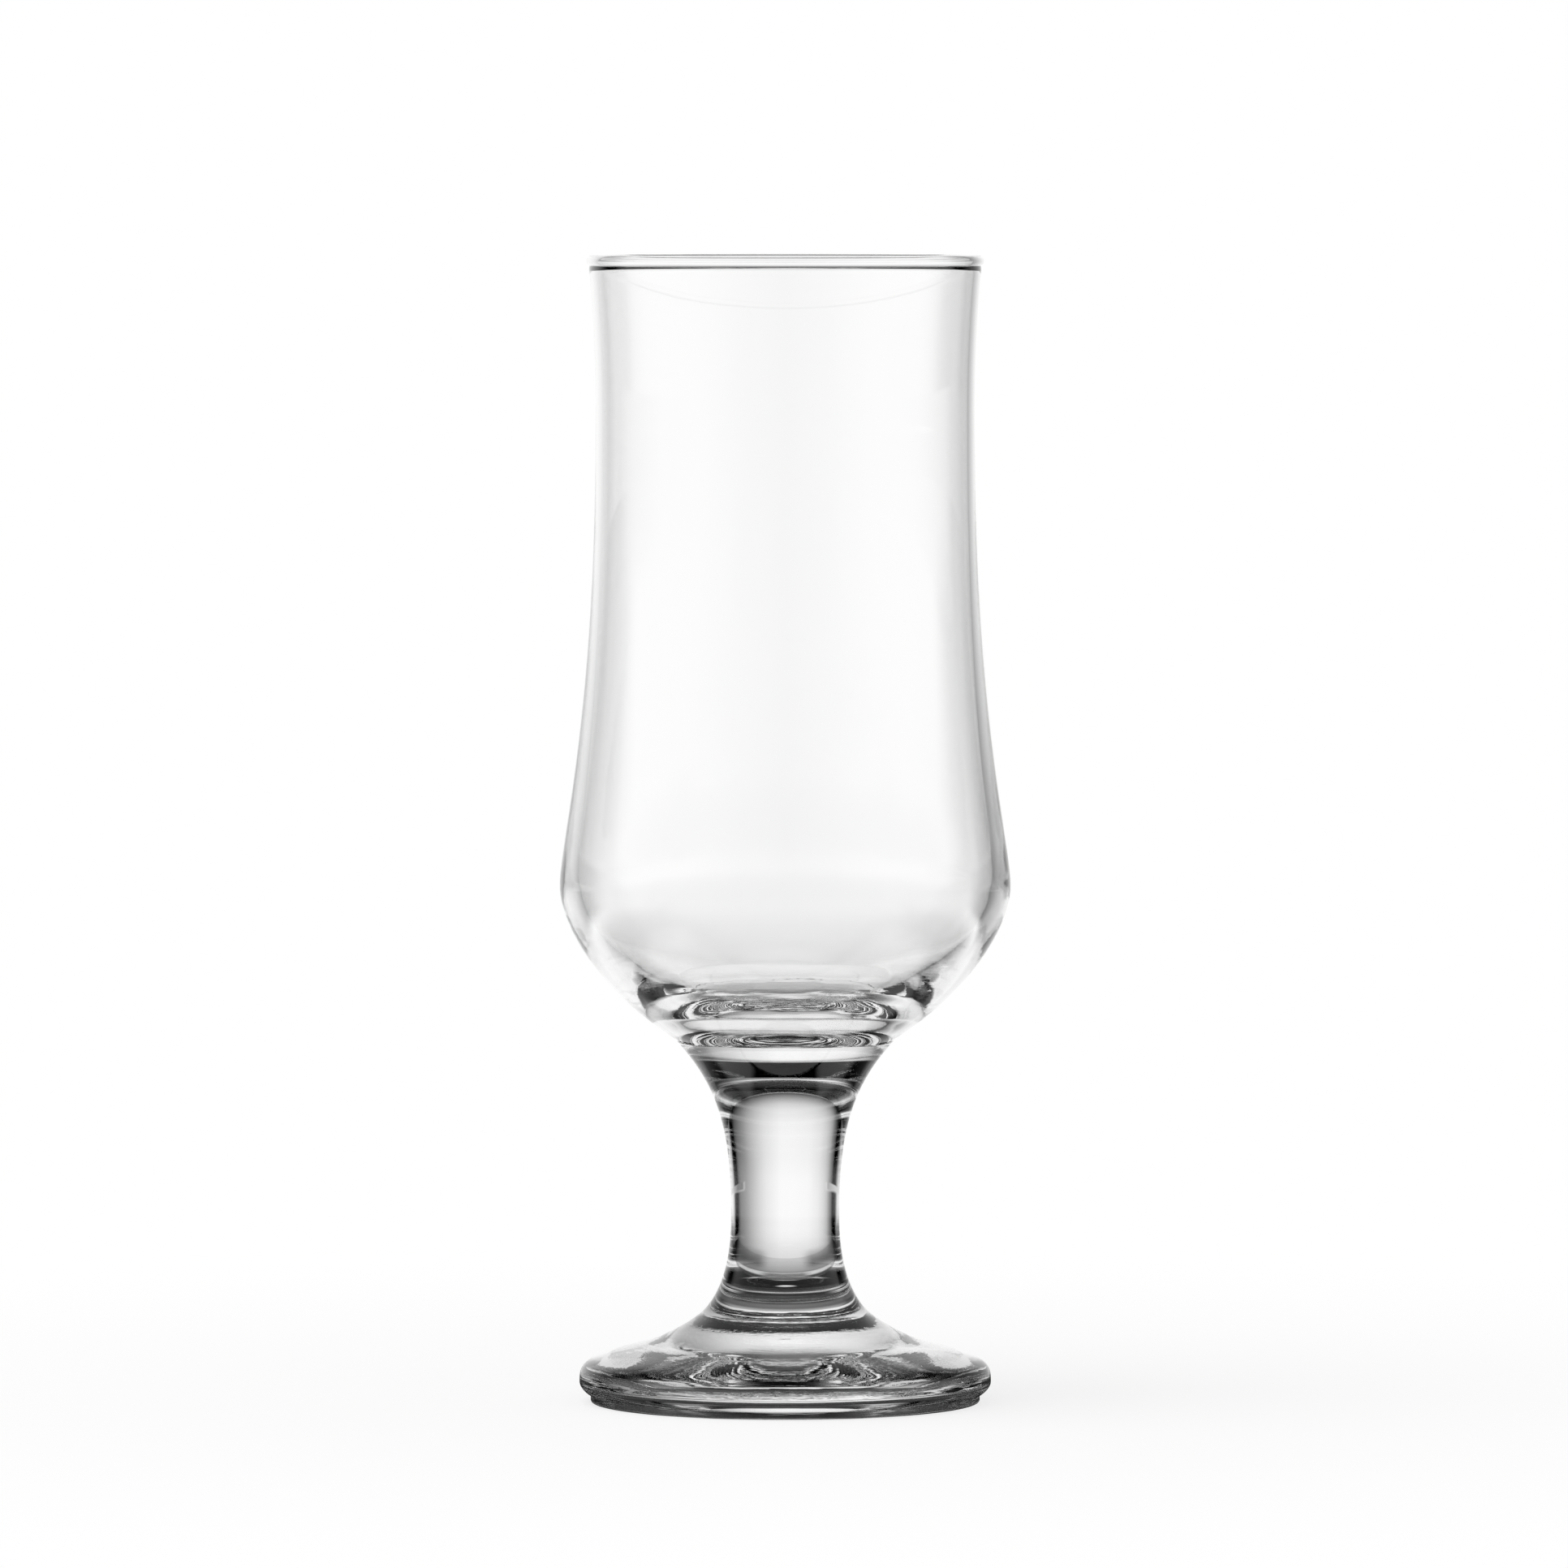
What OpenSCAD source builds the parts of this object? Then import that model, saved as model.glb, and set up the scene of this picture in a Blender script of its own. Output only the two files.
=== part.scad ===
// A footed pilsner glass: a bowl, a solid stem and a pressed foot, fused face to face.
// Every piece is turned about the Z axis. The origin is the centre of the standing ring.

/* [Bowl] */
// Height of the bowl, from its weld on the stem to the top of the rim
bowl_h = 129.4; // [115:0.1:150]
// Outer diameter of the wall at the mouth, just under the rim bead
mouth_d = 64.8; // [62:0.1:70]
// How far the wall leans outwards at the mouth, in degrees
mouth_lean = 6; // [0:0.5:12]
// Thickness of the wall from the mouth down to the waist
wall = 1.2; // [0.8:0.1:1.8]
// How far the melted rim bead stands proud of the wall, inside and outside
bead_proud = 0.3; // [0.1:0.05:0.6]
// Outer diameter at the waist, where the bowl is drawn in
waist_d = 62.4; // [56:0.1:66]
// How far the waist lies below the rim
waist_drop = 29; // [20:0.5:45]
// Outer diameter at the belly, the widest place of the bowl
belly_d = 74.3; // [69:0.1:82]
// How far the belly lies above the weld
belly_up = 25.7; // [22:0.1:34]
// Thickness of the wall at the belly
belly_wall = 3; // [2:0.1:4.5]
// How far the widest place of the cavity lies above the belly
cavity_rise = 1.2; // [0:0.1:4]
// Thickness of the glass between the cavity and the weld
floor_t = 2.1; // [1.5:0.1:5]
// Diameter of the cavity's knee, where its flat floor turns up into its slope
knee_d = 38; // [32:0.1:42]
// How far the knee lies above the lowest point of the cavity
knee_up = 5.2; // [4:0.1:7]
// How far the cavity leans outwards at the knee, in degrees from upright
knee_lean = 60.5; // [54:0.5:66]
// Steepness of the bowl's underside where it reaches the weld, in degrees from upright
underside_lean = 58; // [45:1:62]

/* [Stem] */
// Height of the stem, from the foot's neck to the weld
stem_h = 43.6; // [38:0.1:70]
// Diameter of the stem at its slimmest
stem_d = 17.8; // [12:0.1:22]
// How far the slimmest place lies above the foot's neck
slim_up = 15.4; // [10:0.1:20]
// Diameter of the stem's upper end, at the weld
weld_d = 35.6; // [30:0.1:40]
// How far the edge of the bowl stays inside the edge of the stem at the weld
weld_step = 0.3; // [0:0.05:0.8]
// How far the stem leans outwards at the weld, in degrees
weld_lean = 41; // [30:1:50]

/* [Foot] */
// Height of the foot, from the table to its neck
foot_h = 16; // [13.5:0.1:22]
// Diameter of the foot over its rounded edge
foot_d = 67.9; // [62:0.1:80]
// Height of the foot's widest line above the table
edge_up = 3.4; // [2.4:0.1:4.5]
// Diameter of the neck, where the foot meets the stem
neck_d = 25.4; // [23:0.1:30]
// How far the neck leans outwards at the joint with the stem, in degrees
neck_lean = 37; // [25:1:45]
// Diameter of the shoulder, where the hollow slope of the foot turns into its rounded edge
shoulder_d = 46; // [38:0.1:52]
// Height of the shoulder above the table
shoulder_up = 9.8; // [8:0.1:11.5]
// Slope of the foot at the shoulder, in degrees from level
shoulder_slope = 15; // [8:1:24]
// Outer diameter of the standing ring
ring_d = 64.2; // [56:0.1:65.5]
// Height of the standing ring
ring_h = 1.2; // [0.8:0.1:2]
// Width of the standing ring
ring_w = 4.3; // [2:0.1:10]
// Radius of the standing ring's outer edge
ring_round = 0.4; // [0.2:0.05:0.7]
// Height of the hollow under the foot, inside the standing ring
hollow_h = 2; // [0.6:0.1:3]

/* [Hidden] */

// Number of straight steps in each curve and round the ring's edge, and the fineness of the turned faces
steps = 24;
ring_steps = 6;
$fn = 180;

// Heights of the joints and of the lines that the curves run through
neck_z = foot_h;
slim_z = neck_z + slim_up;
weld_z = neck_z + stem_h;
belly_z = weld_z + belly_up;
cavity_z = weld_z + floor_t;
knee_z = cavity_z + knee_up;
cavity_belly_z = belly_z + cavity_rise;
rim_z = weld_z + bowl_h;
waist_z = rim_z - waist_drop;

// Radii of the same lines
bead_r = wall / 2 + bead_proud;
mouth_r = mouth_d / 2;
waist_r = waist_d / 2;
belly_r = belly_d / 2;
cavity_r = belly_r - belly_wall;
knee_r = knee_d / 2;
weld_r = weld_d / 2;
slim_r = stem_d / 2;
neck_r = neck_d / 2;
shoulder_r = shoulder_d / 2;
edge_r = foot_d / 2;
ring_r = ring_d / 2;
hollow_r = ring_r - ring_w;
mouth_z = rim_z - bead_r;

// How far each curve keeps its end directions, as shares of the height or width that it spans
weld_share = 0.6;
belly_low_share = 0.25;
belly_high_share = 0.096;
waist_low_share = 0.63;
waist_high_share = 0.05;
mouth_share = 0.51;
cavity_floor_share = 0.87;
knee_low_share = 0.14;
knee_high_share = 0.455;
cavity_belly_share = 0.33;
stem_weld_share = 0.28;
slim_high_share = 0.576;
slim_low_share = 0.51;
neck_high_share = 0.25;
neck_low_share = 0.67;
shoulder_high_share = 0.1;
shoulder_low_share = 0.95;
edge_high_share = 0.536;
edge_low_share = 0.54;
under_share = 0.1;
hollow_share = 0.9;
hollow_edge_share = 0.7;
hollow_rise_share = 0.97;

// A smooth curve from a to d, which leaves a towards b and reaches d from c
function curve(a, b, c, d) = [
    for (i = [0:steps])
        let (t = i / steps, u = 1 - t)
            u * u * u * a + 3 * u * u * t * b + 3 * u * t * t * c + t * t * t * d
];

// The points of a curve without its first one, to follow a curve that ends there
function after(points) = [for (i = [1:len(points) - 1]) points[i]];

// The points in the opposite order
function back(points) = [for (i = [len(points) - 1:-1:0]) points[i]];

// A step of a given length that leans outwards by an angle from upright
function leaning(length, angle) = length * [sin(angle), cos(angle)];

// A step of a given length straight up
function up(length) = [0, length];

// Outside of the bowl, from the weld up to the middle of the rim bead
function bowl_outside() =
    let (
        weld = [weld_r - weld_step, weld_z],
        belly = [belly_r, belly_z],
        waist = [waist_r, waist_z],
        mouth = [mouth_r, mouth_z]
    )
    concat(
        curve(weld, weld + leaning(weld_share * belly_up, underside_lean),
              belly - up(belly_low_share * belly_up), belly),
        after(curve(belly, belly + up(belly_high_share * (waist_z - belly_z)),
                    waist - up(waist_low_share * (waist_z - belly_z)), waist)),
        after(curve(waist, waist + up(waist_high_share * (mouth_z - waist_z)),
                    mouth - leaning(mouth_share * (mouth_z - waist_z), mouth_lean), mouth))
    );

// Inside of the bowl, from the cavity's lowest point up to the middle of the rim bead
function bowl_inside() =
    let (
        bottom = [0, cavity_z],
        knee = [knee_r, knee_z],
        belly = [cavity_r, cavity_belly_z],
        slope = norm(belly - knee),
        waist = [waist_r - wall, waist_z],
        mouth = [mouth_r - wall, mouth_z]
    )
    concat(
        curve(bottom, bottom + [cavity_floor_share * knee_r, 0],
              knee - leaning(knee_low_share * knee_r, knee_lean), knee),
        after(curve(knee, knee + leaning(knee_high_share * slope, knee_lean),
                    belly - up(cavity_belly_share * (cavity_belly_z - knee_z)), belly)),
        after(curve(belly, belly + up(belly_high_share * (waist_z - cavity_belly_z)),
                    waist - up(waist_low_share * (waist_z - cavity_belly_z)), waist)),
        after(curve(waist, waist + up(waist_high_share * (mouth_z - waist_z)),
                    mouth - leaning(mouth_share * (mouth_z - waist_z), mouth_lean), mouth))
    );

// Outside of the stem, from the foot's neck up to the weld
function stem_outside() =
    let (neck = [neck_r, neck_z], slim = [slim_r, slim_z], weld = [weld_r, weld_z])
    concat(
        curve(neck, neck + leaning(neck_high_share * slim_up, -neck_lean),
              slim - up(slim_low_share * slim_up), slim),
        after(curve(slim, slim + up(slim_high_share * (weld_z - slim_z)),
                    weld - leaning(stem_weld_share * (weld_z - slim_z), weld_lean), weld))
    );

// Outside of the foot, from the top of the standing ring up to the neck
function foot_outside() =
    let (
        ring = [ring_r, ring_h],
        edge = [edge_r, edge_up],
        shoulder = [shoulder_r, shoulder_up],
        neck = [neck_r, neck_z],
        slope = 90 - shoulder_slope
    )
    concat(
        curve(ring, ring + [under_share * (edge_r - ring_r), 0],
              edge - up(edge_low_share * (edge_up - ring_h)), edge),
        after(curve(edge, edge + up(edge_high_share * (shoulder_up - edge_up)),
                    shoulder - leaning(shoulder_low_share * (edge_r - shoulder_r), -slope), shoulder)),
        after(curve(shoulder, shoulder + leaning(shoulder_high_share * (neck_z - shoulder_up), -slope),
                    neck - leaning(neck_low_share * (neck_z - shoulder_up), -neck_lean), neck))
    );

// Underside of the foot, from the top of its hollow out and round the standing ring
function foot_underside() =
    let (
        top = [0, hollow_h],
        inner = [hollow_r, 0],
        near_inner = [hollow_r - hollow_edge_share * hollow_r, hollow_rise_share * hollow_h],
        round_middle = [ring_r - ring_round, ring_round]
    )
    concat(
        curve(top, top + [hollow_share * hollow_r, 0], near_inner, inner),
        [for (i = [0:ring_steps])
            let (angle = 90 * i / ring_steps)
                round_middle + ring_round * [sin(angle), -cos(angle)]]
    );

// The bowl: a thin turned wall that thickens to a heavy bottom, with a round bead at the rim
module bowl() {
    color("aliceblue")
        rotate_extrude() {
            polygon(concat([[0, weld_z]], bowl_outside(), back(bowl_inside())));
            translate([mouth_r - wall / 2, mouth_z])
                circle(bead_r);
        }
}

// The stem: a solid turned column, slimmest below its middle and wide at both ends
module stem() {
    color("lightblue")
        rotate_extrude()
            polygon(concat([[0, neck_z]], stem_outside(), [[0, weld_z]]));
}

// The foot: a solid turned disc with a raised neck, a rounded edge and a standing ring
module foot() {
    color("lightsteelblue")
        rotate_extrude()
            polygon(concat(foot_underside(), foot_outside(), [[0, neck_z]]));
}

bowl();
stem();
foot();
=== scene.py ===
# %% [markdown]
# A footed pilsner glass, dressed around its CAD frame.
# The real glass is three gathers of clear soda-lime glass fused hot: a blown bowl, a short solid
# stem and a pressed foot. Glass has no colour of its own to paint. All that the eye sees is the
# room behind it, bent by the shape of its walls. So this lesson spends its care on three things:
# outlines that are smooth enough to bend light well, one honest glass material, and a room
# that is worth looking at through it.

# %% Load the frame
import math

import bpy
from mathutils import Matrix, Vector


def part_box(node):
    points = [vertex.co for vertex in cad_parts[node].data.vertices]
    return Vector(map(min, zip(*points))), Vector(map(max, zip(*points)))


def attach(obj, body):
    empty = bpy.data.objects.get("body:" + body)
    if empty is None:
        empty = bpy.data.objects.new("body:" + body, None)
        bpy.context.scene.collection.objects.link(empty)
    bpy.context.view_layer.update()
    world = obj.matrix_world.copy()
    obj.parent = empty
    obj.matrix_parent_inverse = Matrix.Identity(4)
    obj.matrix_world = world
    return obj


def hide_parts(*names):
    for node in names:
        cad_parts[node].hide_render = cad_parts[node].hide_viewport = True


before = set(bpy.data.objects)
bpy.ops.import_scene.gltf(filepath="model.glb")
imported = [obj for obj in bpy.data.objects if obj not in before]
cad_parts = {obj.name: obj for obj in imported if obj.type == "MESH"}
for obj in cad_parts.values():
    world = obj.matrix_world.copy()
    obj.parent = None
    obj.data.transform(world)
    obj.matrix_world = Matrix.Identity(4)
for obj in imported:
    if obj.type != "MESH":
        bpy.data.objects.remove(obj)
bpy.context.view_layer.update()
MM = 0.001

# %% [markdown]
# The camera comes first, because every later choice is judged through it. The photograph was
# taken from about two metres with a long lens, a little above the rim and tilted slightly down:
# the rim is seen almost edge-on, while the foot opens into a slim oval. The lens is worked out
# from its focal length in pixels of the square picture.

# %% Set up the camera
picture_px = 1932
focal_px = 16007
sensor_mm = 36
camera_place = Vector((-0.0002, -2.137, 0.206))
camera_tilt = math.radians(2.7857)

bpy.ops.object.camera_add(location=camera_place, rotation=(math.pi / 2 - camera_tilt, 0, 0))
camera = bpy.context.object
camera.name = "photo_camera"
camera.data.sensor_width = sensor_mm
camera.data.lens = focal_px / picture_px * sensor_mm
bpy.context.scene.camera = camera
print("Lens in mm:", round(camera.data.lens, 1))

# %% [markdown]
# Every piece of this glass is turned about one upright axis, as it was in the mould and at the
# fire. A lathe shape needs only half a section: an outline from the axis, round the outside and
# back to the axis. The outlines are smooth curves with a direction at each end, the same curves
# and the same sizes as in the CAD part, but drawn with finer steps, because light that passes
# through a lens shows every facet.

# %% Draw smooth outlines
curve_steps = 56


def curve(a, b, c, d, steps=curve_steps):
    """Points of a smooth curve from a to d, which leaves a towards b and reaches d from c."""
    points = []
    for i in range(steps + 1):
        t = i / steps
        u = 1 - t
        points.append(u * u * u * a + 3 * u * u * t * b + 3 * u * t * t * c + t * t * t * d)
    return points


def at(radius, height):
    """A place in the half section."""
    return Vector((radius, height))


def leaning(length, degrees):
    """A step that leans outwards by an angle from upright."""
    return length * Vector((math.sin(math.radians(degrees)), math.cos(math.radians(degrees))))


def up(length):
    """A step straight up."""
    return Vector((0, length))


print("Steps in each curve:", curve_steps)

# %% [markdown]
# The piece itself is made as by hand: one vertex is put at the start of the outline and extruded
# from point to point, and a Screw modifier without any rise turns the line once round the axis,
# like a lathe. That is much quicker than the Spin operator and gives the same faces. The seam and
# the points on the axis are doubled, so they are merged before the faces are turned outwards.

# %% Turn an outline into a piece
turn_steps = 216
merge_distance = 0.001 * MM
smooth_below = math.radians(32)


def turned(name, outline):
    """A closed piece, made by turning an outline in the half section about the upright axis."""
    bpy.ops.object.select_all(action="DESELECT")
    start = outline[0]
    bpy.ops.mesh.primitive_plane_add(size=MM, location=(start.x, 0, start.y))
    piece = bpy.context.object
    piece.name = name
    bpy.ops.object.mode_set(mode="EDIT")
    bpy.ops.mesh.select_all(action="SELECT")
    bpy.ops.mesh.merge(type="CENTER")
    for here, there in zip(outline, outline[1:]):
        step = there - here
        bpy.ops.mesh.extrude_region_move(TRANSFORM_OT_translate={"value": (step.x, 0, step.y)})
    bpy.ops.object.mode_set(mode="OBJECT")
    bpy.ops.object.transform_apply(location=True, rotation=True, scale=True)
    bpy.ops.object.modifier_add(type="SCREW")
    lathe = piece.modifiers[-1]
    lathe.axis = "Z"
    lathe.angle = 2 * math.pi
    lathe.steps = lathe.render_steps = turn_steps
    bpy.ops.object.modifier_apply(modifier=lathe.name)
    bpy.ops.object.mode_set(mode="EDIT")
    bpy.ops.mesh.select_all(action="SELECT")
    bpy.ops.mesh.remove_doubles(threshold=merge_distance)
    bpy.ops.mesh.normals_make_consistent(inside=False)
    bpy.ops.object.mode_set(mode="OBJECT")
    bpy.ops.object.shade_smooth_by_angle(angle=smooth_below)
    print(name, "faces:", len(piece.data.polygons),
          "size in mm:", [round(s / MM, 2) for s in piece.dimensions])
    return piece


print("Steps in each turn:", turn_steps)

# %% [markdown]
# The bowl is a thin blown wall that is drawn in at the waist, swells to a full belly and gets
# much heavier below it. Its outside and inside are two different curves, and the glass between
# them is what bends the light at the edges. The names are those of the CAD part: a radius ends
# in _r, a height above the table in _z, and a lean is in degrees from upright.

# %% Bowl sizes
foot_h = 16 * MM
stem_h = 43.6 * MM
weld_z = foot_h + stem_h
rim_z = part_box("bowl")[1].z
belly_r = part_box("bowl")[1].x
belly_z = weld_z + 25.7 * MM
belly_wall = 3 * MM
wall = 1.2 * MM
waist_r = 31.2 * MM
waist_z = rim_z - 29 * MM
mouth_r = 32.4 * MM
mouth_lean = 6
bead_r = 0.9 * MM
mouth_z = rim_z - bead_r
weld_r = 17.8 * MM
weld_step = 0.3 * MM
underside_lean = 58
print("Bowl from", round(weld_z / MM, 1), "to", round(rim_z / MM, 1), "mm")

# %% Cavity sizes
cavity_z = weld_z + 2.1 * MM
cavity_r = belly_r - belly_wall
cavity_belly_z = belly_z + 1.2 * MM
knee_r = 19 * MM
knee_z = cavity_z + 5.2 * MM
knee_lean = 60.5
print("Cavity from", round(cavity_z / MM, 1), "mm, widest at", round(cavity_belly_z / MM, 1), "mm")

# %% [markdown]
# Each curve keeps the direction of its two ends for a while. How long it does is a share of the
# height or width that it spans, and these shares are what was fitted to the photograph: a large
# one makes a full, round swelling, and a small one a quick turn. The two walls follow the same
# curves from the belly up over the waist to the mouth, so one function draws them.

# %% Shares of the bowl's curves
weld_share = 0.6
belly_low_share = 0.25
belly_high_share = 0.096
waist_low_share = 0.63
waist_high_share = 0.05
mouth_share = 0.51
cavity_floor_share = 0.87
knee_low_share = 0.14
knee_high_share = 0.455
cavity_belly_share = 0.33


def over_the_waist(widest, widest_z, narrowest, lip):
    """A wall from its widest place, over its narrowest to the lip, without the first point."""
    to_waist = waist_z - widest_z
    to_lip = mouth_z - waist_z
    points = curve(widest, widest + up(belly_high_share * to_waist),
                   narrowest - up(waist_low_share * to_waist), narrowest)[1:]
    return points + curve(narrowest, narrowest + up(waist_high_share * to_lip),
                          lip - leaning(mouth_share * to_lip, mouth_lean), lip)[1:]


print("The waist keeps upright for", waist_low_share, "of the height below it")

# %% Outside of the bowl
weld = at(weld_r - weld_step, weld_z)
belly = at(belly_r, belly_z)
bowl_outside = curve(weld, weld + leaning(weld_share * (belly_z - weld_z), underside_lean),
                     belly - up(belly_low_share * (belly_z - weld_z)), belly)
bowl_outside += over_the_waist(belly, belly_z, at(waist_r, waist_z), at(mouth_r, mouth_z))
print("Points outside:", len(bowl_outside))

# %% Inside of the bowl
cavity_bottom = at(0, cavity_z)
cavity_belly = at(cavity_r, cavity_belly_z)
knee = at(knee_r, knee_z)
knee_to_belly = (cavity_belly - knee).length
bowl_inside = curve(cavity_bottom, cavity_bottom + at(cavity_floor_share * knee_r, 0),
                    knee - leaning(knee_low_share * knee_r, knee_lean), knee)
bowl_inside += curve(knee, knee + leaning(knee_high_share * knee_to_belly, knee_lean),
                     cavity_belly - up(cavity_belly_share * (cavity_belly_z - knee_z)),
                     cavity_belly)[1:]
bowl_inside += over_the_waist(cavity_belly, cavity_belly_z,
                              at(waist_r - wall, waist_z), at(mouth_r - wall, mouth_z))
print("Points inside:", len(bowl_inside))

# %% [markdown]
# The mouth was cut and melted in a flame, which pulled the cut edge into a round bead. Where the
# bead meets the wall, melted glass leaves no sharp corner. Each side of the wall is followed
# until it comes close to the bead, and a short curve then leads onto the round. The bead starts
# well below level, so the wall is drawn in a little just under it, by about 0.2 mm. This slight
# neck bends light strongly, and the eye sees it as the dark lower line of the rim.

# %% Rim bead
bead = at(mouth_r - wall / 2, mouth_z)
bead_start = math.radians(-62)
bead_end = math.pi - bead_start
bead_steps = 36
bead_flow = 0.5 * MM
bead_turn = 0.12 * MM
flow_steps = 16


def on_bead(angle):
    """A place on the bead, by its angle above level, outwards."""
    return bead + bead_r * Vector((math.cos(angle), math.sin(angle)))


def below_bead(points):
    """The part of a wall's outline that lies well clear of the bead."""
    return [p for p in points if p.y < mouth_z - bead_r - bead_flow]


round_bead = [on_bead(bead_start + (bead_end - bead_start) * i / bead_steps)
              for i in range(bead_steps + 1)]
print("Bead across in mm:", round(2 * bead_r / MM, 2))

# %% Bowl
outer_wall = below_bead(bowl_outside)
inner_wall = below_bead(bowl_inside)
onto_bead = curve(outer_wall[-1], outer_wall[-1] + leaning(bead_flow, mouth_lean),
                  round_bead[0] - leaning(bead_turn, -math.degrees(bead_start)),
                  round_bead[0], flow_steps)
off_bead = curve(round_bead[-1], round_bead[-1] - leaning(bead_turn, math.degrees(bead_start)),
                 inner_wall[-1] + leaning(bead_flow, mouth_lean), inner_wall[-1], flow_steps)
bowl_outline = [at(0, weld_z)] + outer_wall + onto_bead[1:-1] + round_bead
bowl_outline += off_bead[1:-1] + inner_wall[::-1]
bowl = turned("glass_bowl", bowl_outline)

# %% [markdown]
# The stem is one solid drop of glass, slimmest below its middle and wide at both ends. A solid
# round rod is a strong lens: it shows the whole backdrop turned over and squeezed between two
# dark edges, so its outline matters more than its finish.

# %% Stem
neck_r = 12.7 * MM
neck_lean = 37
slim_r = 8.9 * MM
slim_z = foot_h + 15.4 * MM
weld_lean = 41
neck_high_share = 0.25
slim_low_share = 0.51
slim_high_share = 0.576
stem_weld_share = 0.28

neck = at(neck_r, foot_h)
slim = at(slim_r, slim_z)
stem_top = at(weld_r, weld_z)
stem_outside = curve(neck, neck + leaning(neck_high_share * (slim_z - foot_h), -neck_lean),
                     slim - up(slim_low_share * (slim_z - foot_h)), slim)
stem_outside += curve(slim, slim + up(slim_high_share * (weld_z - slim_z)),
                      stem_top - leaning(stem_weld_share * (weld_z - slim_z), weld_lean),
                      stem_top)[1:]
stem = turned("glass_stem", [at(0, foot_h)] + stem_outside + [weld, at(0, weld_z)])

# %% [markdown]
# The foot was pressed: a disc with a raised neck, a hollow slope, a full rounded edge and, below
# it, a narrow ring that it stands on. Inside the ring the underside is slightly hollow, so that
# the glass doesn't rock. The outline starts under the middle, goes out below the hollow and round
# the ring, and comes back over the top.

# %% Underside of the foot
ring_r = 32.1 * MM
ring_w = 4.3 * MM
ring_round = 0.4 * MM
ring_steps = 12
hollow_h = 2 * MM
hollow_r = ring_r - ring_w
hollow_share = 0.9
hollow_edge_share = 0.7
hollow_rise_share = 0.97

hollow_top = at(0, hollow_h)
hollow_edge = at(hollow_r, 0)
underside = curve(hollow_top, hollow_top + at(hollow_share * hollow_r, 0),
                  hollow_edge + at(-hollow_edge_share * hollow_r, hollow_rise_share * hollow_h),
                  hollow_edge)
for i in range(ring_steps + 1):
    angle = math.pi / 2 * i / ring_steps
    underside.append(at(ring_r - ring_round * (1 - math.sin(angle)),
                        ring_round * (1 - math.cos(angle))))
print("Standing ring in mm, inside and outside:",
      round(2 * hollow_r / MM, 1), round(2 * ring_r / MM, 1))

# %% Foot
edge_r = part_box("foot")[1].x
edge_z = 3.4 * MM
ring_h = 1.2 * MM
shoulder = at(23 * MM, 9.8 * MM)
shoulder_slope = 15
slope = 90 - shoulder_slope
under_share = 0.1
edge_low_share = 0.54
edge_high_share = 0.536
shoulder_low_share = 0.95
shoulder_high_share = 0.1
neck_low_share = 0.67

edge = at(edge_r, edge_z)
ring = at(ring_r, ring_h)
foot_outside = curve(ring, ring + at(under_share * (edge_r - ring_r), 0),
                     edge - up(edge_low_share * (edge_z - ring_h)), edge)
foot_outside += curve(edge, edge + up(edge_high_share * (shoulder.y - edge_z)),
                      shoulder - leaning(shoulder_low_share * (edge_r - shoulder.x), -slope),
                      shoulder)[1:]
foot_outside += curve(shoulder,
                      shoulder + leaning(shoulder_high_share * (foot_h - shoulder.y), -slope),
                      neck - leaning(neck_low_share * (foot_h - shoulder.y), -neck_lean),
                      neck)[1:]
foot = turned("glass_foot", underside + foot_outside + [at(0, foot_h)])

# %% [markdown]
# Materials start with three small helpers. Colours are written as they look on a screen and turned
# to linear light. One function adds a node with its settings, its constant inputs and its links,
# and the stops of its ramp where it has one.

# %% Material helpers
white_light = (1, 1, 1, 1)


def linear(colour):
    """An sRGB hex colour as linear RGBA."""
    channels = [int(colour[i:i + 2], 16) / 255 for i in (1, 3, 5)]
    return [c / 12.92 if c <= 0.04045 else ((c + 0.055) / 1.055) ** 2.4 for c in channels] + [1]


def add(tree, kind, settings=None, inputs=None, links=None, stops=()):
    """A node of a kind, with its settings, its constant inputs and the outputs linked to it.

    A ramp's stops are pairs of a place, from 0 to 1, and a grey level.
    """
    node = tree.nodes.new(kind)
    for name, value in (settings or {}).items():
        setattr(node, name, value)
    for name, value in (inputs or {}).items():
        node.inputs[name].default_value = value
    for name, source in (links or {}).items():
        tree.links.new(source, node.inputs[name])
    for i, (where, level) in enumerate(stops):
        elements = node.color_ramp.elements
        if i == 0:
            while len(elements) > 1:
                elements.remove(elements[-1])
        stop = elements[0] if i == 0 else elements.new(where)
        stop.position = where
        stop.color = (level, level, level, 1)
    return node


def new_material(name):
    """An empty node material."""
    material = bpy.data.materials.new(name)
    material.use_nodes = True
    material.node_tree.nodes.clear()
    return material


print("Near white in linear light:", round(linear("#FEFEFE")[0], 3))

# %% [markdown]
# The glass is clear soda-lime glass, with an index of refraction of 1.52. Its surface was left by
# the flame, so it is as smooth as a liquid, but not flat. Two kinds of unevenness are left from
# the making. Slow waves, about a centimetre long, come from glass that cooled while it moved. Fine
# ripples lie round the axis, where the glass was turned or pressed. Both are far too shallow to
# see as a shape, but they make refracted edges ragged, which tells the eye that this is glass.
# Higher up the bowl the wall is thin and was blown free, and both die away.

# %% Soda-lime glass
glass_ior = 1.52
calm_share = 0.06


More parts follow.
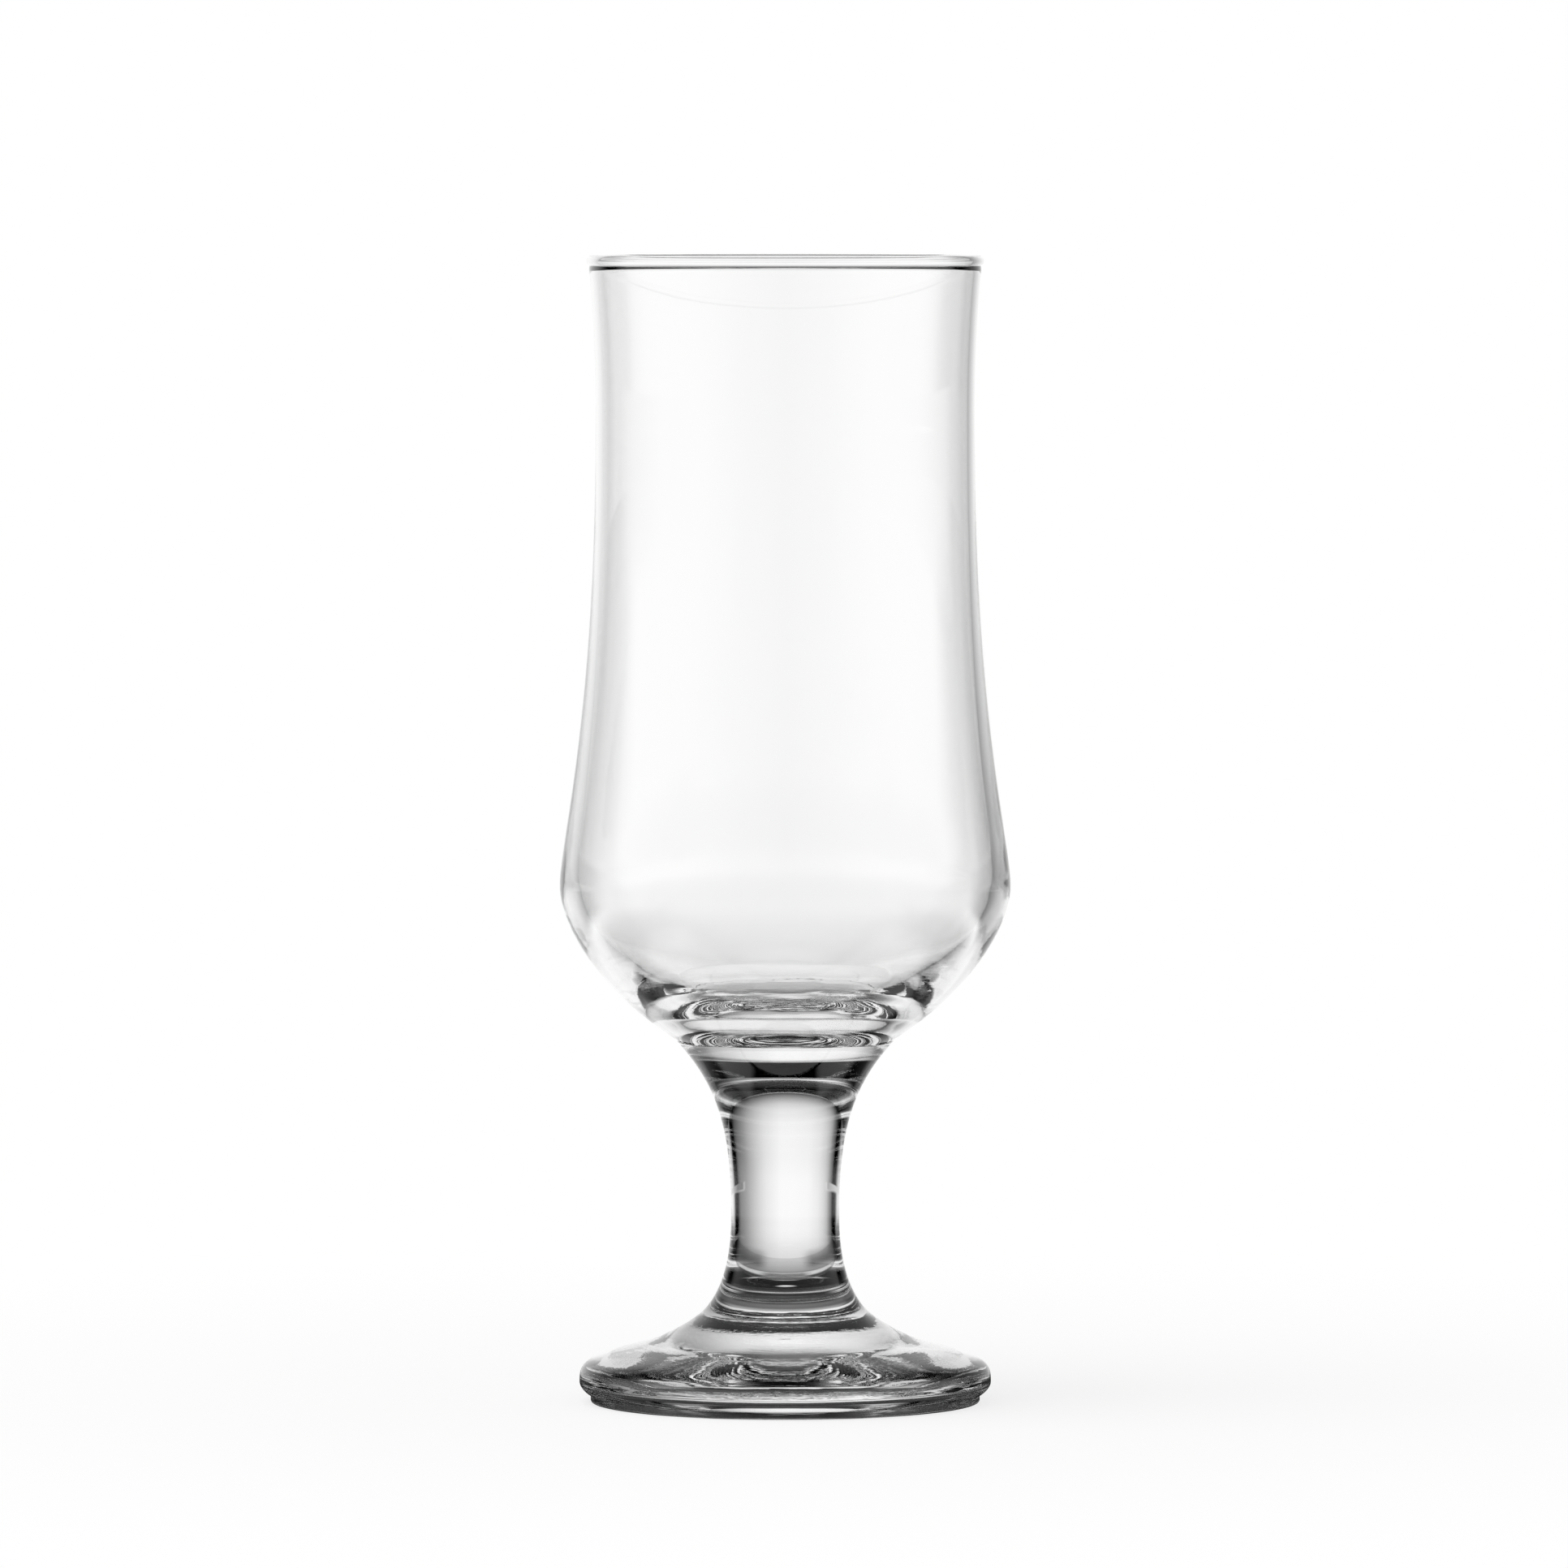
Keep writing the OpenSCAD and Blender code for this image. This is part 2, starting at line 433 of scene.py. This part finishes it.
def soda_lime_glass(name, waves_mm, ripples_mm, ripples_round, ripples_lean, calm_between=None):
    """Clear glass with slow waves and fine ripples round the axis.

    Waves and ripples are each given as their length and their height in mm. The ripples follow the
    height plus the radius times their lean, so that they cross the slope that they lie on. Between
    the two heights of calm_between the surface gets calmer.
    """
    material = new_material(name)
    tree = material.node_tree
    place = add(tree, "ShaderNodeTexCoord")
    parts = add(tree, "ShaderNodeSeparateXYZ", None, None, {"Vector": place.outputs["Object"]})
    level = add(tree, "ShaderNodeVectorMath", {"operation": "MULTIPLY"}, {1: (1, 1, 0)},
                {0: place.outputs["Object"]})
    radius = add(tree, "ShaderNodeVectorMath", {"operation": "LENGTH"}, None,
                 {0: level.outputs["Vector"]})
    outwards = add(tree, "ShaderNodeVectorMath", {"operation": "NORMALIZE"}, None,
                   {0: level.outputs["Vector"]})
    turned_by = add(tree, "ShaderNodeVectorMath", {"operation": "SCALE"},
                    {"Scale": ripples_round}, {0: outwards.outputs["Vector"]})
    along = add(tree, "ShaderNodeMath", {"operation": "MULTIPLY_ADD"}, {1: ripples_lean},
                {0: radius.outputs["Value"], 2: parts.outputs["Z"]})
    along_ripples = add(tree, "ShaderNodeMath", {"operation": "DIVIDE"}, {1: ripples_mm[0] * MM},
                        {0: along.outputs["Value"]})
    flat = add(tree, "ShaderNodeSeparateXYZ", None, None, {"Vector": turned_by.outputs["Vector"]})
    round_axis = add(tree, "ShaderNodeCombineXYZ", None, None,
                     {"X": flat.outputs["X"], "Y": flat.outputs["Y"],
                      "Z": along_ripples.outputs["Value"]})
    waves = add(tree, "ShaderNodeTexNoise", {"noise_dimensions": "3D"},
                {"Scale": 1 / (waves_mm[0] * MM), "Detail": 1.0, "Roughness": 0.4},
                {"Vector": place.outputs["Object"]})
    ripples = add(tree, "ShaderNodeTexNoise", {"noise_dimensions": "3D"},
                  {"Scale": 1.0, "Detail": 2.0, "Roughness": 0.5},
                  {"Vector": round_axis.outputs["Vector"]})
    wave_bump = add(tree, "ShaderNodeBump", None,
                    {"Strength": 1.0, "Distance": waves_mm[1] * MM},
                    {"Height": waves.outputs["Fac"]})
    ripple_bump = add(tree, "ShaderNodeBump", None,
                      {"Strength": 1.0, "Distance": ripples_mm[1] * MM},
                      {"Height": ripples.outputs["Fac"], "Normal": wave_bump.outputs["Normal"]})
    if calm_between:
        calm = add(tree, "ShaderNodeMapRange", {"interpolation_type": "SMOOTHSTEP"},
                   {"From Min": calm_between[0], "From Max": calm_between[1],
                    "To Min": 1.0, "To Max": calm_share},
                   {"Value": parts.outputs["Z"]})
        for bump in (wave_bump, ripple_bump):
            tree.links.new(calm.outputs["Result"], bump.inputs["Strength"])
    glass = add(tree, "ShaderNodeBsdfPrincipled", None,
                {"Base Color": linear("#FEFEFE"), "Roughness": 0.0, "IOR": glass_ior,
                 "Transmission Weight": 1.0},
                {"Normal": ripple_bump.outputs["Normal"]})
    add(tree, "ShaderNodeOutputMaterial", None, None, {"Surface": glass.outputs["BSDF"]})
    return material


print("Index of refraction:", glass_ior)

# %% [markdown]
# Each way of making leaves its own surface. Blowing and turning a bowl leaves gentle waves and
# low ripples. A stem that is drawn out hangs free and comes out the calmest. A press leaves the
# deepest and finest ripples, because its metal chills the skin of the glass at once.

# %% The three glasses
blown_glass = soda_lime_glass("blown soda-lime glass", waves_mm=(10, 0.1), ripples_mm=(1.6, 0.006),
                              ripples_round=3, ripples_lean=1.0,
                              calm_between=(70 * MM, 110 * MM))
drawn_glass = soda_lime_glass("drawn soda-lime glass", waves_mm=(12, 0.03), ripples_mm=(2, 0.002),
                              ripples_round=2, ripples_lean=0.0)
pressed_glass = soda_lime_glass("pressed soda-lime glass", waves_mm=(9, 0.1),
                                ripples_mm=(0.9, 0.015), ripples_round=3, ripples_lean=-1.0)
print("Glass materials:", [m.name for m in (blown_glass, drawn_glass, pressed_glass)])

# %% [markdown]
# Where two gathers were fused, nothing is left to see: the glass simply goes on. Each piece here
# is a closed body with a flat face at the joint, and light must cross that face unbent, or the
# joint would shine like a coin in the stem. So the joint faces get a clear material of their own.

# %% Fused joints
fused_joint = new_material("fused joint")
clear = add(fused_joint.node_tree, "ShaderNodeBsdfTransparent", None, {"Color": white_light})
add(fused_joint.node_tree, "ShaderNodeOutputMaterial", None, None,
    {"Surface": clear.outputs["BSDF"]})
facing_up_or_down = 0.99


def dress(piece, material, joints):
    """Gives a piece its glass, and the clear material to its faces at the joints."""
    piece.data.materials.append(material)
    piece.data.materials.append(fused_joint)
    count = 0
    for face in piece.data.polygons:
        centre = face.center
        for height, radius in joints:
            at_height = abs(centre.z - height) < merge_distance
            if (at_height and abs(face.normal.z) > facing_up_or_down
                    and math.hypot(centre.x, centre.y) < radius):
                face.material_index = 1
                count += 1
    print(piece.name, "joint faces:", count)


dress(bowl, blown_glass, [(weld_z, weld.x)])
dress(stem, drawn_glass, [(foot_h, neck_r), (weld_z, weld.x)])
dress(foot, pressed_glass, [(foot_h, neck_r)])

# %% [markdown]
# A glass is photographed against a bright field: a white backdrop straight behind it, falling off
# to black cards at both sides, and a dark ceiling. The glass bends its view of the backdrop, so
# that its edges reach the cards and the ceiling and draw themselves in black. Past the cards the
# room is white again, so the glass stays clear from other sides too, and behind the
# photographer it is dimmer. A direction is given by its azimuth, in degrees to the right of
# straight behind the glass, and by its elevation above the horizon.

# %% Directions in the studio
world = bpy.data.worlds.new("bright_field")
bpy.context.scene.world = world
world.use_nodes = True
tree = world.node_tree
tree.nodes.clear()
place = add(tree, "ShaderNodeTexCoord")
direction = add(tree, "ShaderNodeSeparateXYZ", None, None, {"Vector": place.outputs["Generated"]})
azimuth = add(tree, "ShaderNodeMath", {"operation": "ARCTAN2"}, None,
              {0: direction.outputs["X"], 1: direction.outputs["Y"]})
turn = add(tree, "ShaderNodeMapRange", None, {"From Min": -math.pi, "From Max": math.pi},
           {"Value": azimuth.outputs["Value"]})
rise = add(tree, "ShaderNodeMapRange", None, {"From Min": -1.0, "From Max": 1.0},
           {"Value": direction.outputs["Z"]})


def by_azimuth(*levels):
    """Stops of a ramp once round, from pairs of an azimuth in degrees and a level."""
    return [(0.5 + degrees / 360, level) for degrees, level in levels]


def by_elevation(*levels):
    """Stops of a ramp from nadir to zenith, from pairs of an elevation in degrees and a level."""
    return [(0.5 + math.sin(math.radians(degrees)) / 2, level) for degrees, level in levels]


print("Straight behind the glass is", by_azimuth((0, 1.0))[0][0], "on the ramp")

# %% [markdown]
# Three ramps hold the levels: one once round, one from bottom to top in front of and behind the
# glass, and one from bottom to top at its sides, where the white band is lower. Both ends of the
# first are the dimmer room behind the photographer, which the table below shows too.

# %% Levels of the studio
left_room = ((-180, 0.6), (-155, 0.75), (-125, 0.95), (-100, 1.0))
right_room = ((125, 0.95), (155, 0.75), (180, 0.6))
around = add(tree, "ShaderNodeValToRGB", None, None, {"Fac": turn.outputs["Result"]}, by_azimuth(
    *left_room, (-80, 1.0), (-72, 0.85), (-64, 0.3), (-59, 0.0), (-50, 0.0), (-44, 0.2),
    (-39, 0.5), (-34, 0.68), (-27, 0.85), (-17, 0.96), (-5, 1.0), (3, 1.0), (14, 0.83), (27, 0.5),
    (34, 0.32), (45, 0.14), (51, 0.0), (59, 0.0), (64, 0.5), (72, 0.85), (80, 1.0), (100, 1.0),
    *right_room))
above = add(tree, "ShaderNodeValToRGB", None, None, {"Fac": rise.outputs["Result"]}, by_elevation(
    (-90, 1.0), (10, 1.0), (16, 0.94), (22, 0.83), (26, 0.72), (32, 0.45), (41, 0.16), (52, 0.0),
    (90, 0.0)))
low_band = add(tree, "ShaderNodeValToRGB", None, None, {"Fac": rise.outputs["Result"]},
               by_elevation((-90, 1.0), (12, 1.0), (18, 0.6), (26, 0.2), (38, 0.0), (90, 0.0)))
turned_away = add(tree, "ShaderNodeMath", {"operation": "ABSOLUTE"}, None,
                  {0: azimuth.outputs["Value"]})
beside = add(tree, "ShaderNodeMapRange", {"interpolation_type": "SMOOTHSTEP"},
             {"From Min": math.radians(55), "From Max": math.radians(75)},
             {"Value": turned_away.outputs["Value"]})
height_level = add(tree, "ShaderNodeMix", {"data_type": "FLOAT"}, None,
                   {"Factor": beside.outputs["Result"], "A": above.outputs["Color"],
                    "B": low_band.outputs["Color"]})
seen_in_glass = add(tree, "ShaderNodeMath", {"operation": "MULTIPLY"}, None,
                    {0: around.outputs["Color"], 1: height_level.outputs["Result"]})
print("Stops once round:", len(around.color_ramp.elements))

# %% [markdown]
# This is the room as glass and mirrors see it. The camera itself sees plain white, where a
# strength of 1 is white, and matt surfaces see an even soft light.

# %% Who sees which studio
soft_light = 0.6
rays = add(tree, "ShaderNodeLightPath")
mirrored = add(tree, "ShaderNodeMath", {"operation": "MAXIMUM"}, None,
               {0: rays.outputs["Is Glossy Ray"], 1: rays.outputs["Is Transmission Ray"]})
unseen = add(tree, "ShaderNodeMix", {"data_type": "FLOAT"}, {"A": soft_light},
             {"Factor": mirrored.outputs["Value"], "B": seen_in_glass.outputs["Value"]})
shown = add(tree, "ShaderNodeMix", {"data_type": "FLOAT"}, {"B": 1.0},
            {"Factor": rays.outputs["Is Camera Ray"], "A": unseen.outputs["Result"]})
sky = add(tree, "ShaderNodeBackground", None, {"Color": white_light},
          {"Strength": shown.outputs["Result"]})
add(tree, "ShaderNodeOutputWorld", None, None, {"Surface": sky.outputs["Background"]})
print("Soft light level:", soft_light)

# %% [markdown]
# The floor is a plain satin white table. The camera sees it matt near the glass, where it keeps
# the soft shadow, and melting into the white backdrop further out. How far a place on it lies
# from the glass's axis is its reach.

# %% Floor
floor_size = 40
bpy.ops.object.select_all(action="DESELECT")
bpy.ops.mesh.primitive_plane_add(size=floor_size, location=(0, 0, 0))
floor = bpy.context.object
floor.name = "floor"
table_top = new_material("satin white table top")
tree = table_top.node_tree
place = add(tree, "ShaderNodeTexCoord")
reach = add(tree, "ShaderNodeVectorMath", {"operation": "LENGTH"}, None,
            {0: place.outputs["Object"]}).outputs["Value"]
print("Floor in m:", floor_size)

# %% Table top as the camera sees it
white_share = 0.78
melt = add(tree, "ShaderNodeMapRange", {"interpolation_type": "SMOOTHSTEP"},
           {"From Min": 0.04, "From Max": 0.3, "To Min": white_share, "To Max": 1.0},
           {"Value": reach})
matt = add(tree, "ShaderNodeBsdfDiffuse", None, {"Color": linear("#F8F8F8")})
white = add(tree, "ShaderNodeEmission", None, {"Color": white_light, "Strength": 1.0})
direct = add(tree, "ShaderNodeMixShader", None, None,
             {0: melt.outputs["Result"], 1: matt.outputs["BSDF"], 2: white.outputs["Emission"]})
print("Matt share at the glass:", round(1 - white_share, 2))

# %% [markdown]
# Through the glass the table is an emission whose levels are painted light and shade. The glass
# stands on a satin board that is painted dim, as if the dark ceiling and the cards left it little
# light, with a painted contact shadow where the glass touches it. Past the board the table is
# painted white. How bright a place is depends on where it lies and on how steeply the ray meets
# it, so these
# are measured first: the depth behind the axis, the distance to the side, the azimuth, and the
# slant, which is 1 for a ray along the table and 0 for one from straight above, and 0.5 for one
# that falls at 30 degrees. Only rays that come through glass or off it meet this table, so none of
# it shows on the floor itself.

# %% Where a ray meets the table
apart = add(tree, "ShaderNodeSeparateXYZ", None, None, {"Vector": place.outputs["Object"]})
depth = apart.outputs["Y"]
sides = add(tree, "ShaderNodeVectorMath", {"operation": "ABSOLUTE"}, None,
            {0: place.outputs["Object"]})
side = add(tree, "ShaderNodeSeparateXYZ", None, None,
           {"Vector": sides.outputs["Vector"]}).outputs["X"]
compass = add(tree, "ShaderNodeMath", {"operation": "ARCTAN2"}, None,
              {0: apart.outputs["X"], 1: depth})
round_glass = add(tree, "ShaderNodeMapRange", None, {"From Min": -math.pi, "From Max": math.pi},
                  {"Value": compass.outputs["Value"]}).outputs["Result"]
away = add(tree, "ShaderNodeMath", {"operation": "ABSOLUTE"}, None,
           {0: compass.outputs["Value"]}).outputs["Value"]
slant = add(tree, "ShaderNodeLayerWeight", None, {"Blend": 0.5}).outputs["Facing"]
print("Slant of a ray at 30 degrees:", round(1 - math.sin(math.radians(30)), 2))

# %% [markdown]
# Every zone of the table is a number from 0 to 1 that changes smoothly between two limits, so no
# hard line shows in the glass. The table of limits has one row for each: what is measured, where
# the change starts and ends, and the numbers before and after it. The board's back edge alone is
# sharp, because the bright window in the real stem ends in a crisp line.

# %% Limits of the board
board_depth = 0.158
board_width = 0.4
board_back = board_depth / 2
board_end = board_width / 2
limits = {
    "past back edge": (depth, board_back - MM, board_back + MM, 0, 1),
    "past front edge": (depth, -0.13, -0.045, 1, 0),
    "past ends": (side, board_end - 60 * MM, board_end + 60 * MM, 0, 1),
    # Painted contact shadow: the board's glow falls to a fifth next to the foot.
    "outside the painted contact shadow": (reach, 0.036, 0.05, 0.2, 1),
    "far off": (reach, 0.1, 0.2, 0, 1),
    "past the cards": (reach, 1.1, 1.7, 0, 1),
    "under the cards": (away, math.radians(35), math.radians(41), 0, 1),
}
print("Board in m:", board_width, "by", board_depth)

# %% [markdown]
# At grazing angles a satin table is a mirror of the backdrop, away from the glass and ahead of the
# cards. The other zones are patches of painted shade and painted light, and each shows in one
# place of the glass. Painted shade lies on the far table mirrored by the back of the rim and on
# the low view of the near table in the edge of the foot. Painted light lies on the ring that the
# foot stands on, seen through the foot's slope. The last ones, painted light too, keep the glass
# clear where it is looked down into.

# %% Limits of the patches
limits.update({
    "grazing": (slant, 0.61, 0.69, 0, 1),
    "clear of the glass": (reach, 0.05, 0.12, 0, 1),
    "ahead of the cards": (away, math.radians(62), math.radians(74), 1, 0),
    "rim: not too low": (slant, 0.385, 0.42, 1, 0),
    "rim: not too steep": (slant, 0.14, 0.19, 0, 1),
    "rim: behind": (away, math.radians(35), math.radians(50), 1, 0),
    "rim: far enough": (reach, 0.185, 0.205, 0, 1),
    "edge: low": (slant, 0.5, 0.63, 0, 1),
    "edge: near": (reach, 0.09, 0.12, 0.75, 0),
    "edge: off the middle": (away, math.radians(8), math.radians(18), 0, 1),
    "ring: under the foot": (reach, 0.034, 0.037, 1, 0),
    "ring: off the centre": (reach, 0.024, 0.028, 0, 1),
    "ring: off the middle": (away, math.radians(6), math.radians(14), 0, 1),
    "ring: not beside": (away, math.radians(30), math.radians(42), 1, 0),
    "ring: steep enough": (slant, 0.31, 0.39, 1, 0),
    "down: steep": (slant, 0.26, 0.36, 1, 0),
    "down: not behind": (away, math.radians(45), math.radians(60), 0, 1),
    "not in front": (away, math.radians(115), math.radians(130), 1, 0),
})
zone = {}
for name, (measure, start, end, before, after) in limits.items():
    change = add(tree, "ShaderNodeMapRange", {"interpolation_type": "SMOOTHSTEP"},
                 {"From Min": start, "From Max": end, "To Min": before, "To Max": after},
                 {"Value": measure})
    zone[name] = change.outputs["Result"]
print("Zones:", len(zone))

# %% [markdown]
# Rays that come down almost upright meet painted light on the table, which leaves the bowl clear
# when it is seen from above. How far they may lean depends on the place: right under the stem's
# lens they have to be nearly plumb.

# %% Upright rays
plumb = add(tree, "ShaderNodeMapRange", None,
            {"From Min": 0.012, "From Max": 0.02, "To Min": 0.006, "To Max": 0.06},
            {"Value": reach})
upright = add(tree, "ShaderNodeMapRange", {"interpolation_type": "SMOOTHSTEP"},
              {"From Min": 0.0, "To Min": 1.0, "To Max": 0.0},
              {"Value": slant, "From Max": plumb.outputs["Result"]})
zone["upright"] = upright.outputs["Result"]
print("Upright from a slant of:", round(plumb.inputs["To Min"].default_value, 3))

# %% [markdown]
# Zones that have to hold together are multiplied, and of zones that do the same the larger
# counts. Each row makes one new zone from two, so a patch with four limits takes three rows.

# %% Zones together
for name, operation, first, second in (
        ("past edges", "MAXIMUM", "past back edge", "past front edge"),
        ("past board", "MAXIMUM", "past edges", "past ends"),
        ("past cards at the side", "MULTIPLY", "under the cards", "past the cards"),
        ("painted card reflection", "MULTIPLY", "past cards at the side", "grazing"),
        ("rim: slant", "MULTIPLY", "rim: not too low", "rim: not too steep"),
        ("rim: place", "MULTIPLY", "rim: behind", "rim: far enough"),
        ("rim", "MULTIPLY", "rim: slant", "rim: place"),
        ("edge: near and low", "MULTIPLY", "edge: low", "edge: near"),
        ("edge: sides", "MULTIPLY", "edge: off the middle", "not in front"),
        ("edge", "MULTIPLY", "edge: near and low", "edge: sides"),
        ("painted shade patches", "MAXIMUM", "edge", "rim"),
        ("ring: reach", "MULTIPLY", "ring: under the foot", "ring: off the centre"),
        ("ring: azimuth", "MULTIPLY", "ring: off the middle", "ring: not beside"),
        ("ring: view", "MULTIPLY", "ring: azimuth", "ring: steep enough"),
        ("ring", "MULTIPLY", "ring: reach", "ring: view"),
        ("down: azimuth", "MULTIPLY", "down: not behind", "not in front"),
        ("down", "MULTIPLY", "down: steep", "down: azimuth"),
        ("from above", "MAXIMUM", "upright", "down"),
        ("satin", "MULTIPLY", "grazing", "clear of the glass"),
        ("satin ahead", "MULTIPLY", "satin", "ahead of the cards")):
    both = add(tree, "ShaderNodeMath", {"operation": operation}, None,
               {0: zone[first], 1: zone[second]})
    zone[name] = both.outputs["Value"]
for name, opposite in (("no painted shade", "painted shade patches"), ("no cards", "past cards at the side")):
    rest = add(tree, "ShaderNodeMath", {"operation": "SUBTRACT"}, {0: 1.0}, {1: zone[opposite]})
    zone[name] = rest.outputs["Value"]
print("Zones with the combined ones:", len(zone))

# %% [markdown]
# The board is painted brighter towards its back edge, which is nearer to the backdrop, and the
# open table is painted brighter with its reach. This is painted light that falls off from the
# backdrop.
# Both ramps run over the same stretch, from a little in front of the glass to well behind it.

# %% Levels of board and table
front = -0.1
back = 0.35


def by_distance(*levels):
    """Stops of a ramp from front to back, from pairs of a distance in metres and a level."""
    return [((metres - front) / (back - front), level) for metres, level in levels]


behind = add(tree, "ShaderNodeMapRange", None, {"From Min": front, "From Max": back},
             {"Value": depth})
board = add(tree, "ShaderNodeValToRGB", None, None, {"Fac": behind.outputs["Result"]}, by_distance(
    (front, 0.05), (0.0, 0.07), (0.02, 0.1), (0.03, 0.2), (0.04, 0.3), (0.052, 0.42),
    (0.063, 0.5), (0.078, 0.61)))
outwards = add(tree, "ShaderNodeMapRange", None, {"From Min": front, "From Max": back},
               {"Value": reach})
open_table = add(tree, "ShaderNodeValToRGB", None, None, {"Fac": outwards.outputs["Result"]},
                 by_distance((0.08, 0.78), (0.106, 0.86), (0.147, 0.93), (0.204, 0.985),
                             (back, 1.0)))
# The board's painted light, darkened by the painted contact shadow next to the foot.
on_board = add(tree, "ShaderNodeMath", {"operation": "MULTIPLY"}, None,
               {0: board.outputs["Color"], 1: zone["outside the painted contact shadow"]})
painted_table_light = add(tree, "ShaderNodeMix", {"data_type": "FLOAT"}, None,
          {"Factor": zone["past board"], "A": on_board.outputs["Value"],
           "B": open_table.outputs["Color"]})
print("Stops of the board:", len(board.color_ramp.elements))

# %% [markdown]
# Near the glass the table is painted darker to both sides, as the backdrop is. Far off it is
# painted as bright as the room in that direction, and past the cards a grazing ray sees a painted
# reflection of them in it.

# %% Levels round the glass
# Painted light and shade: near the glass the glow falls off to both sides.
nearby = add(tree, "ShaderNodeValToRGB", None, None, {"Fac": round_glass}, by_azimuth(
    (-180, 0.05), (-110, 0.05), (-70, 0.25), (-45, 0.5), (-35, 0.75), (-20, 0.95), (-5, 1.0),
    (3, 1.0), (14, 0.83), (27, 0.5), (34, 0.34), (45, 0.16), (60, 0.1), (110, 0.05), (180, 0.05)))
far_level = add(tree, "ShaderNodeValToRGB", None, None, {"Fac": round_glass},
                by_azimuth(*left_room, (100, 1.0), *right_room))
evened = add(tree, "ShaderNodeMix", {"data_type": "FLOAT"}, None,
             {"Factor": zone["far off"], "A": nearby.outputs["Color"],
              "B": far_level.outputs["Color"]})
# Painted reflection of the cards and of the room past them.
painted_card_reflection = add(tree, "ShaderNodeValToRGB", None, None, {"Fac": round_glass}, by_azimuth(
    *left_room, (-76, 0.85), (-58, 0.66), (-53, 0.62), (-47, 0.45), (-42, 0.35), (-36, 0.5),
    (36, 0.2), (42, 0.14), (48, 0.16), (53, 0.26), (58, 0.41), (68, 0.57), (78, 0.7), (92, 0.9),
    *right_room))
all_round = add(tree, "ShaderNodeMix", {"data_type": "FLOAT"}, None,
                {"Factor": zone["painted card reflection"], "A": evened.outputs["Result"],
                 "B": painted_card_reflection.outputs["Color"]})
print("Stops over the cards:", len(painted_card_reflection.color_ramp.elements))

# %% [markdown]
# Now the levels and the zones come together. The table glows with painted light and shade at the
# level that the glass is to see, and where it is satin it mirrors the studio instead.

# %% Table top as the glass sees it
# Painted light: the table glows at these levels under the foot's ring and for rays from above.
painted_ring_light = 0.65
painted_light_from_above = 0.86
# The painted light, with the painted shade patches of the rim and the foot's edge taken off.
outside_painted_shade = add(tree, "ShaderNodeMath", {"operation": "MULTIPLY"}, None,
                 {0: painted_table_light.outputs["Result"], 1: zone["no painted shade"]})
from_aside = add(tree, "ShaderNodeMath", {"operation": "MULTIPLY"}, None,
                 {0: all_round.outputs["Result"], 1: outside_painted_shade.outputs["Value"]})
with_ring = add(tree, "ShaderNodeMix", {"data_type": "FLOAT"}, {"B": painted_ring_light},
                {"Factor": zone["ring"], "A": from_aside.outputs["Value"]})
brightness = add(tree, "ShaderNodeMix", {"data_type": "FLOAT"}, {"B": painted_light_from_above},
                 {"Factor": zone["from above"], "A": with_ring.outputs["Result"]})
# The table top glows with the painted light and shade, though it is no lamp.
painted_glow = add(tree, "ShaderNodeEmission", None, {"Color": white_light},
           {"Strength": brightness.outputs["Result"]})
mirror = add(tree, "ShaderNodeBsdfGlossy", None, {"Roughness": 0.0},
             {"Color": painted_table_light.outputs["Result"]})
satin = add(tree, "ShaderNodeMath", {"operation": "MULTIPLY"}, None,
            {0: zone["satin ahead"], 1: zone["no cards"]})
in_glass = add(tree, "ShaderNodeMixShader", None, None,
               {0: satin.outputs["Value"], 1: painted_glow.outputs["Emission"],
                2: mirror.outputs["BSDF"]})
print("Levels of the ring and from above:", painted_ring_light, painted_light_from_above)

# %% [markdown]
# As in the studio, the kind of ray decides which table it meets: camera rays the matt and white
# one, rays in glass and mirrors the one above, and all others plain matt paint, which keeps the
# soft light and the shadow true.

# %% Who sees which table
rays = add(tree, "ShaderNodeLightPath")
mirrored = add(tree, "ShaderNodeMath", {"operation": "MAXIMUM"}, None,
               {0: rays.outputs["Is Glossy Ray"], 1: rays.outputs["Is Transmission Ray"]})
not_camera = add(tree, "ShaderNodeMixShader", None, None,
                 {0: mirrored.outputs["Value"], 1: matt.outputs["BSDF"],
                  2: in_glass.outputs["Shader"]})
mixed = add(tree, "ShaderNodeMixShader", None, None,
            {0: rays.outputs["Is Camera Ray"], 1: not_camera.outputs["Shader"],
             2: direct.outputs["Shader"]})
add(tree, "ShaderNodeOutputMaterial", None, None, {"Surface": mixed.outputs["Shader"]})
floor.data.materials.append(table_top)
print("Nodes of the table top:", len(tree.nodes))

# %% [markdown]
# One large softbox overhead, a little to the left and in front, gives the table its soft shadow.
# The glass doesn't show it, because the real one mirrors nothing but a dark ceiling up there.

# %% Softbox overhead
softbox_place = (-0.4, -0.3, 1.4)
softbox_turn = (-0.2, -0.28, 0)
bpy.ops.object.light_add(type="AREA", location=softbox_place, rotation=softbox_turn)
softbox = bpy.context.object
softbox.name = "softbox"
softbox.data.shape = "SQUARE"
softbox.data.size = 0.9
softbox.data.energy = 9
softbox.visible_camera = False
softbox.visible_glossy = False
softbox.visible_transmission = False
print("Softbox power in watts:", softbox.data.energy)

# %% [markdown]
# Light that crosses the stem and the foot turns back inside the glass several times before it
# leaves. The renderer is allowed enough bounces to follow it.

# %% Light paths
cycles = bpy.context.scene.cycles
cycles.max_bounces = 32
cycles.transmission_bounces = 32
cycles.glossy_bounces = 24
bpy.context.scene.view_settings.view_transform = "Standard"
print("Bounces allowed:", cycles.max_bounces)

# %% [markdown]
# The glass has no moving parts, so all three pieces ride on the root body. Each one stands in for
# the CAD node of its name, which is hidden.

# %% Hand the pieces to the frame
for piece, node in ((bowl, "bowl"), (stem, "stem"), (foot, "foot")):
    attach(piece, "root")
    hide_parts(node)
